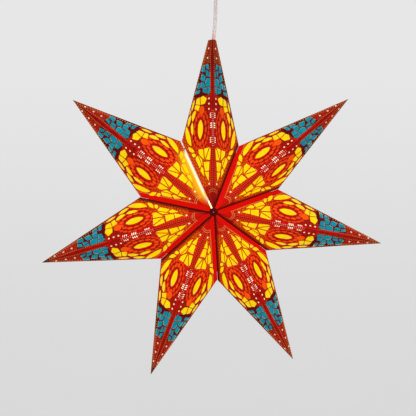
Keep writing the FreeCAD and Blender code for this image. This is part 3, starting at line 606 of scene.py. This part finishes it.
def draw_spine(wall):
    """Red leaf with beaded double lines and ladders, and the ridge line.

    Gives back the glint: the pale dots and rungs that shine.
    """
    u, v = wall.u, wall.v
    wall.lay((v - LEAF_HALF).ramp(0.6, -0.6) * u.between(*LEAF, 3.0), PLAIN_RED)
    for line in (1.9, 6.2):
        wall.gild(u, v - line, 3.6, 0.6, u.between(*LEAF_BEADS, 1.0), 0.4)
    glint = dots(u, v - 1.7, 3.5, 0.6) * u.between(*LEAF_GLINTS, 1.0) * 0.6
    for start, end, low, high in LADDERS:
        rung = abs(u.cell(RUNG_PITCH)).ramp(0.95, 0.55) * v.between(low, high, 0.4)
        glint = glint.top(rung * u.between(start, end, 0.3))
    wall.lay(glint, CREAM)

    spine = ((DRAWN_TIP - u) * SPINE_TAPER).low(SPINE_HALF)
    tail = wall.mixed(wall.blotch.ramp(0.2, 0.6), DARK_RED, PLAIN_RED)
    # the tail darkens towards the tip, and more on the first card as painted shade of the
    # lampholder
    tail = wall.mixed(u.ramp(236.0, 256.0) * (wall.first * 0.6 + 0.25), tail, DARK_RED)
    wall.lay((v - spine).ramp(0.5, -0.5) * u.ramp(166.0, 176.0), tail)
    wall.gild(u, v - spine, 3.5, 0.75, u.ramp(196.0, 200.0), 0.6)
    wall.lay(v.ramp(1.5, 0.7) * 0.8, DARK_RED)
    return glint


def draw_rims(wall):
    """Speckled tip, dotted outer edge, and the beaded arc and rays by the centre."""
    u, v, edge = wall.u, wall.v, wall.edge
    for line in (2.6, 6.2):
        wall.gild(u + line, edge - line, 4.2, 0.7, wall.tip, 0.45)
    wall.gild(u, edge - 3.2, 4.4, 0.8, u.ramp(186.0, 192.0), 0.8)
    wall.lay(edge.ramp(1.6, 0.6) * 0.75, DARK_RED)
    spot = length(u, v)
    wall.lay(spot.ramp(HEART + 0.5, HEART - 0.5), PLAIN_RED)
    for reach in (HEART + 1.0, HEART + 4.5):
        wall.gild(v.calc("ARCTAN2", v, u) * reach, spot - reach, 2.7, 0.7,
                  v.ramp(15.0, 7.0), 0.8)
    wall.gild(spot, v - u * 0.30, 2.2, 0.5, u.between(*HEART_RAYS, 2.0), 0.5)


def draw_margins(wall):
    """Plain bright margin on the left of each point, and painted valley shade as a dark strip on
    its right.
    """
    left = wall.side * (1.0 - wall.first)
    wall.lay(wall.valley.ramp(MARGIN, MARGIN - 0.6) * left, BRIGHT_RED)
    line = abs(wall.valley - (MARGIN + 0.4)).ramp(0.7, 0.0)
    wall.lay(line * left * wall.u.ramp(30.0, 40.0) * 0.55, GOLD)
    # painted shade: the valley's shadow, and the double paper there that lets less lamp light
    # through
    valley_shade = wall.valley.ramp(*VALLEY_SHADE_FADE) * (1.0 - wall.side) * (1.0 - wall.last)
    wall.lay(valley_shade, MAROON)


def draw_pricks(wall, glint):
    """The torn rims of the pricked holes catch the light."""
    for along, across in PRICKS:
        burr = length(wall.u - along, wall.v - across).ramp(1.8, 1.3) * 0.8
        wall.lay(burr, CREAM)
        glint = glint.top(burr)
    return glint


def print_group():
    """The print as a node group, shared by the seven cards.

    In go the drawn u, v and side of a place, 1 on the first or on the last card, and the
    place itself. Out come the colour, the height of the ink, and the glint.
    """
    tree = bpy.data.node_groups.new("star_print", "ShaderNodeTree")
    for names, way, kind in ((PRINT_INPUTS, "INPUT", "NodeSocketFloat"),
                             (("place",), "INPUT", "NodeSocketVector"),
                             (("colour",), "OUTPUT", "NodeSocketColor"),
                             (("ink", "glint"), "OUTPUT", "NodeSocketFloat")):
        for name in names:
            tree.interface.new_socket(name, in_out=way, socket_type=kind)
    wall = Print(tree, tree.nodes.new("NodeGroupInput").outputs)
    draw_ground(wall)
    draw_eye(wall)
    glint = draw_spine(wall)
    draw_rims(wall)
    draw_margins(wall)
    glint = draw_pricks(wall, glint)
    result = tree.nodes.new("NodeGroupOutput")
    feed(tree, result.inputs["colour"], wall.colour)
    feed(tree, result.inputs["ink"], wall.grain * 0.5 + wall.blotch * 0.5)
    feed(tree, result.inputs["glint"], glint)
    return tree


def card_material(index, group):
    """Printed card, lit by the room and through the sheet by the lamp."""
    material, tree, shader = paper_surface("printed_card_%d" % (index + 1))
    place = place_of(tree)
    u, v, side = wall_coordinates(tree, place, index)
    first, last = index == 0, index == len(OPENING) - 1
    printed = tree.nodes.new("ShaderNodeGroup")
    printed.node_tree = group
    for name, value in (("u", u), ("v", v), ("side", side), ("place", place),
                        ("first", float(first)), ("last", float(last))):
        feed(tree, printed.inputs[name], value)
    colour = printed.outputs["colour"]
    inside = facing_lamp(tree, place)
    glow = lamp_glow(tree, place)
    spill = scaled(tree, CREAM[:3], Number(tree, printed.outputs["glint"]) * 0.6)
    if first:
        # painted shade of the lampholder: the top point is dimmer, and darkest by the centre
        glow = glow * 0.8
        colour = mix(tree, length(u, v).ramp(56.0, 18.0) * 0.6, colour, MAROON)
    if index in DARK_ENDS:
        colour = mix(tree, u.ramp(300.0, 312.0) * 0.8, colour, MAROON)
    if last:
        spill = added(tree, spill, spilled(tree, u, v, (1.0 - side) * (1.0 - inside)))
    lit_paper(tree, shader, colour, glow, inside, spill=spill)
    bump(tree, shader, Number(tree, printed.outputs["ink"]), 0.00006)
    return material


def spilled(tree, u, v, here):
    """Light that leaves the slit and falls on the wall beside it."""
    out = down_valley(u, v)
    along = out.ramp(14.0, 46.0) * out.ramp(136.0, 120.0) * here
    valley = from_valley(u, v)
    bands = [scaled(tree, light[:3], valley.ramp(end, full) * along * strength)
             for light, end, full, strength in SPILL_BANDS]
    return added(tree, *bands)


# ------------------------------------------------------------ other materials

BULB_GLOW = 1.4
# The lamp's orange light painted on the cord in and near the star: heights above its centre
# where it starts and is full.
CORD_LAMPLIT = (0.325, 0.300)


def tissue_material(name, deep, light):
    """Thin dyed tissue: faint fibres and cloudiness, glowing from behind."""
    material, tree, shader = paper_surface(name)
    place = place_of(tree)
    cloud = noise(tree, place, 90.0, 3.0)
    fibre = noise(tree, place, 700.0, 2.0, (1.0, 0.3, 1.6))
    tone = cloud.ramp(0.25, 0.75) * 0.7 + fibre * 0.3
    colour = mix(tree, tone, deep, light)
    lit_paper(tree, shader, colour, lamp_glow(tree, place) * 0.6 + 0.4,
              facing_lamp(tree, place), light)
    bump(tree, shader, fibre, 0.00005)
    return material


def plastic_material(name, colour, roughness):
    """Moulded plastic with a faint orange peel and dust in its tone."""
    material, tree, shader = surface_of(name, roughness)
    place = place_of(tree)
    cloud = noise(tree, place, 60.0, 3.0)
    tree.links.new(mix(tree, cloud, duller(colour, 0.93), colour),
                   shader.inputs["Base Color"])
    feed(tree, shader.inputs["Roughness"], cloud * 0.12 + (roughness - 0.06))
    bump(tree, shader, noise(tree, place, 2500.0), 0.00003)
    return material


def metal_material(name, colour, roughness):
    """Bright metal with fine drawn lines and a little tarnish."""
    material, tree, shader = surface_of(name, roughness, Metallic=1.0)
    place = place_of(tree)
    cloud = noise(tree, place, 220.0, 3.0)
    lines = noise(tree, place, 900.0, 2.0, (1.0, 1.0, 12.0))
    tree.links.new(mix(tree, cloud.ramp(0.35, 0.75), colour, duller(colour, 0.72)),
                   shader.inputs["Base Color"])
    feed(tree, shader.inputs["Roughness"], lines * 0.2 + (roughness - 0.1))
    bump(tree, shader, lines, 0.00002)
    return material


def string_material(name, dark, light):
    """Cotton string, fibres in two tones."""
    material, tree, shader = surface_of(name, 0.9, Specular_IOR_Level=0.1)
    fibre = noise(tree, place_of(tree), 3500.0, 3.0)
    tree.links.new(mix(tree, fibre, dark, light), shader.inputs["Base Color"])
    bump(tree, shader, fibre, 0.0001)
    return material


def opal_material():
    """Opal glass of the lit bulb."""
    material, tree, shader = surface_of("opal_glass", 0.25, Coat_Weight=0.3)
    cloud = noise(tree, place_of(tree), 40.0, 2.0)
    colour = mix(tree, cloud, rgba(1.0, 0.80, 0.46), rgba(1.0, 0.88, 0.62))
    tree.links.new(colour, shader.inputs["Base Color"])
    tree.links.new(colour, shader.inputs["Emission Color"])
    shader.inputs["Emission Strength"].default_value = BULB_GLOW
    return material


def cord_material():
    """Clear soft plastic over pale cores, cloudy along its length, painted lamp-lit near the
    star.
    """
    material, tree, shader = surface_of("clear_cord", 0.22, Coat_Weight=0.5,
                                        Subsurface_Weight=0.25, Subsurface_Scale=0.002)
    place = place_of(tree)
    _, _, z = split_place(tree, place)
    cloud = noise(tree, place, 120.0, 2.0, (1.0, 1.0, 0.25))
    body = mix(tree, cloud, rgba(0.46, 0.38, 0.37), rgba(0.66, 0.59, 0.58))
    warm = z.ramp(*(STAR.z + height for height in CORD_LAMPLIT))
    # painted light: the lamp's orange glow on the cord in and near the star
    body = mix(tree, warm * 0.7, body, rgba(0.66, 0.33, 0.20))
    tree.links.new(body, shader.inputs["Base Color"])
    return material


# ------------------------------------------------------------ cord

LOBE_TURN = 240.0
LOBE_STEPS = 12
WAIST_SHARE = 0.62


def route_line(route):
    """Points down the smooth curve that follows the route."""
    data = bpy.data.curves.new("route", "CURVE")
    data.dimensions = "3D"
    data.resolution_u = 12
    spline = data.splines.new("NURBS")
    spline.points.add(len(route) - 1)
    for point, (aside, up) in zip(spline.points, route):
        point.co = (STAR.x + aside, 0.0, STAR.z + up, 1.0)
    spline.order_u = 3
    spline.use_endpoint_u = True
    carrier = bpy.data.objects.new("route", data)
    mesh = bpy.data.meshes.new_from_object(carrier)
    line = [vertex.co.copy() for vertex in mesh.vertices]
    bpy.data.meshes.remove(mesh)
    bpy.data.objects.remove(carrier)
    return line


def twin_section():
    """Outline of two round cores side by side, with a shallow waist between them."""
    radius = CORD_THICK / 2
    apart = (CORD_WIDE - CORD_THICK) / 2
    section = []
    for way, facing in ((1, 0.0), (-1, 180.0)):
        for step in range(LOBE_STEPS + 1):
            angle = math.radians(facing + LOBE_TURN * (step / LOBE_STEPS - 0.5))
            section.append((way * apart + radius * math.cos(angle), radius * math.sin(angle)))
        section.append((0.0, way * WAIST_SHARE * radius))
    return section


def make_cord(material):
    """The flat twin cord along its route."""
    line = route_line(CORD_ROUTE)
    section = twin_section()
    points = sweep(line, section, Vector((1.0, 0.0, 0.0)))
    cord = mesh_object("twin_cord", points, tube_faces(len(line), len(section)), material)
    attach(cord, "root")
    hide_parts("cord")


# ------------------------------------------------------------ string ties

STRING_SIDES = 8
RING_STEPS = 24

# Turns of a knot's string: bearing in the star's plane, and lean out of it.
KNOT_TURNS = ((0.0, 0.2), (35.0, 1.0), (80.0, 0.5), (125.0, 1.2), (160.0, 0.1),
              (20.0, -0.9), (100.0, -0.6))
KNOT_STRING = 0.00062
COIL_FACE = 0.0954
COIL_RINGS = (0.0012, 0.0023, 0.0034, 0.0045, 0.0056, 0.0067)
COIL_STEPS = 48
BUTTON_TURNS = KNOT_TURNS[:4]
BUTTON_RADIUS = 0.0007
BUTTON_STEPS = 16

TIE_STRING = 0.0007
TIE_STEPS = 72
STRANDS = 2
STRAND_TWISTS = 9
TIE_KNOT_RADIUS = 0.0012
# Turns of the tie's knot: shift along its own axis, and spin about the loop's direction.
TIE_KNOT_TURNS = ((0.0, 0.0), (0.00033, 0.9), (-0.0003, 2.1))
# Finding the CAD ring: vertices taken as the knot, and steps of the fit.
KNOT_VERTICES = 30
FIT_STEPS = 200


def round_loop(centre, axis, radius, steps=RING_STEPS):
    """Places round a ring, each with its direction out of the ring and the ring's axis."""
    across = axis.orthogonal().normalized()
    along = axis.cross(across)
    loop = []
    for step in range(steps):
        turn = 2 * math.pi * step / steps
        out = across * math.cos(turn) + along * math.sin(turn)
        loop.append((centre + out * radius, out, axis))
    return loop


def string_piece(name, loops, material):
    """One piece made of closed loops of string, each with the string's radius."""
    points = []
    faces = []
    for loop, string in loops:
        base = len(points)
        for here, out, up in loop:
            for side in range(STRING_SIDES):
                angle = 2 * math.pi * side / STRING_SIDES
                points.append(here + (out * math.cos(angle) + up * math.sin(angle)) * string)
        faces += [tuple(base + corner for corner in face)
                  for face in grid_faces(len(loop), STRING_SIDES, closed_rows=True)]
    return mesh_object(name, points, faces, material)


def turn_axis(bearing, lean):
    """Axis of one turn of a knot's string."""
    turn = math.radians(bearing)
    return Vector((math.cos(turn), lean, math.sin(turn))).normalized()


def make_knot(node, material, dark):
    """Ball of wound string in a centre hole, the flat coil over the hole in painted shade, and
    its button.
    """
    low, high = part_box(node)
    centre = (low + high) / 2
    radius = (high.x - low.x) / 2
    loops = []
    for bearing, lean in KNOT_TURNS:
        axis = turn_axis(bearing, lean)
        beside = centre + axis * KNOT_STRING * 1.9
        loops.append((round_loop(centre, axis, radius - KNOT_STRING * 1.05), KNOT_STRING))
        loops.append((round_loop(beside, axis, radius * 0.80 - KNOT_STRING), KNOT_STRING))
    ball = string_piece(node + "_ball", loops, material)

    out = Vector((0.0, math.copysign(1.0, centre.y), 0.0))
    face = Vector((centre.x, 0.0, centre.z)) + out * COIL_FACE
    loops = [(round_loop(face, Vector((0.0, 1.0, 0.0)), ring, COIL_STEPS), KNOT_STRING)
             for ring in COIL_RINGS]
    # the coil's dark maroon string is painted shade round the star's centre
    coil = string_piece(node + "_coil", loops, dark)

    top = face + out * KNOT_STRING * 1.6
    loops = [(round_loop(top, turn_axis(bearing, lean * 0.5), BUTTON_RADIUS, BUTTON_STEPS),
              KNOT_STRING * 0.7) for bearing, lean in BUTTON_TURNS]
    bead = string_piece(node + "_bead", loops, material)
    for piece in (ball, coil, bead):
        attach(piece, "root")
    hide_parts(node)


def fitted_ring(flat):
    """Centre and radius of the ring in a ring-and-knot outline, in its plane."""
    low = flat.min(axis=0)
    high = flat.max(axis=0)
    # the knot widens the outline on one side only, so the plainer width is the ring's
    radius = (high - low).min() / 2 - TIE_STRING
    centre = (low + high) / 2
    for _ in range(FIT_STEPS):
        away = flat - centre
        distance = np.linalg.norm(away, axis=1)
        keep = distance < radius * 1.25
        pull = (away[keep] / distance[keep][:, None]
                * (distance[keep] - radius)[:, None]).mean(axis=0)
        centre = centre + pull
    return centre, radius


def tie_ring(node):
    """Centre, axis, direction to the knot, and radius of a ring with a knot on it."""
    corners = np.array([vertex.co for vertex in NODES[node].data.vertices])
    middle = corners.mean(axis=0)
    # the ring's plane: its thinnest direction is the ring's axis
    _, _, directions = np.linalg.svd(corners - middle, full_matrices=False)
    axis = Vector(directions[2])
    first = Vector(directions[0])
    second = axis.cross(first)
    flat = (corners - middle) @ np.array([first, second]).T
    centre, radius = fitted_ring(flat)
    furthest = np.argsort(-np.linalg.norm(flat - centre, axis=1))[:KNOT_VERTICES]
    aside, up = flat[furthest].mean(axis=0) - centre
    towards = (first * aside + second * up).normalized()
    return Vector(middle) + first * centre[0] + second * centre[1], axis, towards, radius


def make_tie(node, material):
    """Twisted string loop with a small knot, in place of a plain ring."""
    centre, axis, towards, radius = tie_ring(node)
    across = axis.cross(towards)
    loops = []
    for strand in range(STRANDS):
        loop = []
        for step in range(TIE_STEPS):
            turn = 2 * math.pi * step / TIE_STEPS
            out = towards * math.cos(turn) + across * math.sin(turn)
            twist = STRAND_TWISTS * turn + 2 * math.pi * strand / STRANDS
            aside = out * math.cos(twist) + axis * math.sin(twist)
            loop.append((centre + out * radius + aside * TIE_STRING * 0.45, out, axis))
        loops.append((loop, TIE_STRING * 0.55))
    knot = centre + towards * radius
    for shift, spin in TIE_KNOT_TURNS:
        way = (across * math.cos(spin) + axis * math.sin(spin)).normalized()
        loops.append((round_loop(knot + way * shift, way, TIE_KNOT_RADIUS),
                      TIE_STRING * 0.75))
    tie = string_piece(node + "_string", loops, material)
    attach(tie, "root")
    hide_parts(node)


# ------------------------------------------------------------ lamp and ceiling cup

BULB_SIDES = 72
NECK_LENGTH = 0.015
NECK_STEPS = 12
CAP_RADIUS = 0.0067
CAP_LENGTH = 0.019
CAP_ROWS = 90
# The cap's end: radius, and distance below its top.
CAP_END = ((0.0052, 0.0014), (0.0034, 0.0009), (0.0028, 0.0004), (0.0020, 0.0))
CAP_STRAIGHT = CAP_LENGTH - 0.0025
THREAD_PITCH = 0.0030
THREAD_DEPTH = 0.00045
# Plain lengths of the cap, below and above its thread.
THREAD_CLEAR = (0.002, 0.004)

CUP_SIDES = 96
CUP_WALL = 0.0018
CUP_ROUND = 0.006
CUP_MOUTH = 0.0033
CUP_MOUTH_EASE = (0.0003, 0.0002)
# The rim stands out from the cup's side by the step.
RIM_STEP = 0.0006
RIM_HEIGHT = 0.0040
RIM_BEVEL = 0.0005
RIM_EASE = 0.0004


def make_bulb(glass, brass):
    """Lit globe bulb with a threaded brass cap."""
    middle = Vector(((BULB_LOW.x + BULB_HIGH.x) / 2, (BULB_LOW.y + BULB_HIGH.y) / 2, 0.0))
    top = BULB_HIGH.z
    foot = top - CAP_LENGTH
    centre = BULB_LOW.z + BULB_RADIUS
    join = math.degrees(math.asin((foot - NECK_LENGTH - centre) / BULB_RADIUS))
    outline = arc((0.0, centre), BULB_RADIUS, -89.0, join, 40)
    wide, start = outline[-1]
    for step in range(1, NECK_STEPS + 1):
        share = step / NECK_STEPS
        ease = (share * share * (3 - 2 * share)) ** 0.6
        outline.append((wide + (CAP_RADIUS - wide) * ease, start + (foot - start) * share))
    globe = mesh_object("bulb_globe", revolve(outline, middle, BULB_SIDES),
                        tube_faces(len(outline), BULB_SIDES, far_end=False), glass)

    def thread(height, angle):
        """What the thread adds to the cap's radius: nothing on its crests and plain ends."""
        if not foot + THREAD_CLEAR[0] < height < top - THREAD_CLEAR[1]:
            return 0.0
        turn = 2 * math.pi * (height - foot) / THREAD_PITCH - angle
        return THREAD_DEPTH * (math.sin(turn) - 1.0)

    outline = [(CAP_RADIUS, foot + CAP_STRAIGHT * row / CAP_ROWS) for row in range(CAP_ROWS + 1)]
    outline += [(radius, top - down) for radius, down in CAP_END]
    cap = mesh_object("bulb_screw_cap", revolve(outline, middle, BULB_SIDES, thread),
                      tube_faces(len(outline), BULB_SIDES), brass)
    for piece, slot in ((globe, "bulb_glass"), (cap, "brass")):
        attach(piece, "root")
    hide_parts("bulb")


def make_cup(material):
    """Ceiling cup with a rounded lower edge and a stepped rim."""
    low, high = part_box("ceiling_cup")
    radius = (high.x - low.x) / 2
    side = radius - RIM_STEP
    bend = (side - CUP_ROUND, low.z + CUP_ROUND)
    aside, up = CUP_MOUTH_EASE
    outline = [(CUP_MOUTH, low.z + CUP_WALL), (CUP_MOUTH, low.z + up),
               (CUP_MOUTH + aside, low.z)]
    outline += arc(bend, CUP_ROUND, -90, 0, 14)
    outline += [(side, high.z - RIM_HEIGHT - RIM_BEVEL), (radius, high.z - RIM_HEIGHT),
                (radius, high.z - RIM_EASE), (radius - RIM_EASE, high.z),
                (radius - CUP_WALL, high.z), (radius - CUP_WALL, bend[1])]
    outline += arc(bend, CUP_ROUND - CUP_WALL + RIM_STEP, 0, -90, 10)
    outline += [(CUP_MOUTH, low.z + CUP_WALL)]
    middle = Vector(((low.x + high.x) / 2, 0.0, 0.0))
    cup = mesh_object("ceiling_cup_shell", revolve(outline, middle, CUP_SIDES),
                      grid_faces(len(outline), CUP_SIDES), material)
    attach(cup, "root")
    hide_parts("ceiling_cup")


# ------------------------------------------------------------ room

FLOOR_DOWN = 1.6
BACK_AWAY = 7.0
BACK_BEND = 2.5
BEND_STEPS = 16
ROOM_HALF = 14.0
ROOM_PALE = 0.80
ROOM_CLOUD = 0.01
# Share of the floor that shows its real shading, and so the object's shadow.
FLOOR_SHADED = 0.3
SKY = 0.55
# Lamps: name, where it stands from the star, side length, watts.
LAMPS = (
    ("key", Vector((-1.6, -2.2, 1.6)), 1.6, 46.0),
    ("fill", Vector((2.2, -1.8, 0.4)), 2.0, 26.0),
    ("back", Vector((0.8, 1.1, 1.8)), 1.2, 14.0),
)


def seen_ray(tree):
    """1 where the view, a reflection or a view through glass meets a surface, else 0."""
    path = tree.nodes.new("ShaderNodeLightPath")
    camera, gloss, through = [Number(tree, path.outputs[name]) for name in
                              ("Is Camera Ray", "Is Glossy Ray", "Is Transmission Ray")]
    return camera.top(gloss).top(through)


def room_material():
    """Plain pale tone; the floor keeps part of its shading, the backdrop none."""
    material, tree, shader = surface_of("pale_room", 0.9, Specular_IOR_Level=0.1)
    place = place_of(tree)
    tone = noise(tree, place, 2.0, 2.0) * ROOM_CLOUD + (ROOM_PALE - ROOM_CLOUD / 2)
    grey = tree.nodes.new("ShaderNodeCombineColor")
    for channel in range(3):
        feed(tree, grey.inputs[channel], tone)
    tree.links.new(grey.outputs[0], shader.inputs["Base Color"])
    plain = tree.nodes.new("ShaderNodeEmission")
    tree.links.new(grey.outputs[0], plain.inputs["Color"])
    either = tree.nodes.new("ShaderNodeMixShader")
    _, _, z = split_place(tree, place)
    wall = z.ramp(-FLOOR_DOWN, -FLOOR_DOWN + BACK_BEND)
    feed(tree, either.inputs[0], seen_ray(tree) * (wall * FLOOR_SHADED + (1.0 - FLOOR_SHADED)))
    tree.links.new(shader.outputs[0], either.inputs[1])
    tree.links.new(plain.outputs[0], either.inputs[2])
    tree.links.new(either.outputs[0], tree.nodes["Material Output"].inputs["Surface"])
    return material


def make_room():
    """Pale floor that curves up into a pale backdrop."""
    bend = BACK_AWAY - BACK_BEND
    profile = [(-ROOM_HALF, -FLOOR_DOWN), (bend, -FLOOR_DOWN)]
    for step in range(1, BEND_STEPS + 1):
        angle = math.pi / 2 * step / BEND_STEPS
        profile.append((bend + BACK_BEND * math.sin(angle),
                        -FLOOR_DOWN + BACK_BEND - BACK_BEND * math.cos(angle)))
    profile.append((BACK_AWAY, ROOM_HALF))
    points = [Vector((side * ROOM_HALF, y, z)) for y, z in profile for side in (-1, 1)]
    faces = [(2 * row, 2 * row + 1, 2 * row + 3, 2 * row + 2)
             for row in range(len(profile) - 1)]
    mesh_object("pale_room", points, faces, room_material())


def make_lamps():
    """Three soft area lamps round the star, and a plain pale sky."""
    for name, away, side, power in LAMPS:
        data = bpy.data.lights.new(name, "AREA")
        data.shape = "SQUARE"
        data.size = side
        data.energy = power
        lamp = bpy.data.objects.new(name, data)
        lamp.location = STAR + away
        lamp.rotation_euler = (-away).to_track_quat("-Z", "Y").to_euler()
        bpy.context.scene.collection.objects.link(lamp)
    world = bpy.data.worlds.new("sky")
    world.use_nodes = True
    tree = world.node_tree
    sky = tree.nodes["Background"]
    sky.inputs["Color"].default_value = rgba(1.0, 1.0, 1.0)
    feed(tree, sky.inputs["Strength"], seen_ray(tree) * (ROOM_PALE - SKY) + SKY)
    bpy.context.scene.world = world


# ------------------------------------------------------------ the whole object


def paint(material, *names):
    """Give CAD nodes their material."""
    for name in names:
        for slot in NODES[name].material_slots:
            slot.material = material


def dress():
    """Paint the CAD nodes, and build the pieces that stand in for plain solids."""
    group = print_group()
    amber = tissue_material("amber_tissue", rgba(1.0, 0.60, 0.0), rgba(1.0, 0.80, 0.002))
    turquoise = tissue_material("turquoise_tissue", rgba(0.0, 0.20, 0.29),
                                rgba(0.004, 0.35, 0.43))
    for index in range(len(OPENING)):
        number = index + 1
        paint(card_material(index, group), "point_card_%d" % number)
        paint(amber, "amber_lining_%d" % number)
        paint(turquoise, "turquoise_lining_%d" % number)
    white = plastic_material("white_plastic", rgba(0.86, 0.85, 0.82), 0.38)
    brass = metal_material("drawn_brass", rgba(0.86, 0.62, 0.28), 0.32)
    steel = metal_material("zinc_steel", rgba(0.62, 0.63, 0.66), 0.40)
    paint(white, "cord_stop", "holder_cord_grip", "lampholder_cap", "lampholder_skirt",
          "shade_ring", "contact_block", "ceiling_cord_grip", "terminal_block")
    paint(brass, "centre_contact", "contact_sleeve", "terminal_screws")
    paint(steel, "ceiling_bracket", "cup_screws")
    string = string_material("grey_string", rgba(0.26, 0.10, 0.08), rgba(0.44, 0.24, 0.20))
    # dark maroon string for the coil: painted shade round the star's centre
    dark = string_material("shade_maroon_string", rgba(0.04, 0.0, 0.0), rgba(0.12, 0.002, 0.002))
    for node in ("front_tie", "back_tie"):
        make_knot(node, string, dark)
    make_tie("notch_tie", string)
    make_bulb(opal_material(), brass)
    make_cup(white)


make_camera()
make_cord(cord_material())
dress()
make_room()
make_lamps()
bpy.context.scene.view_settings.view_transform = "Standard"
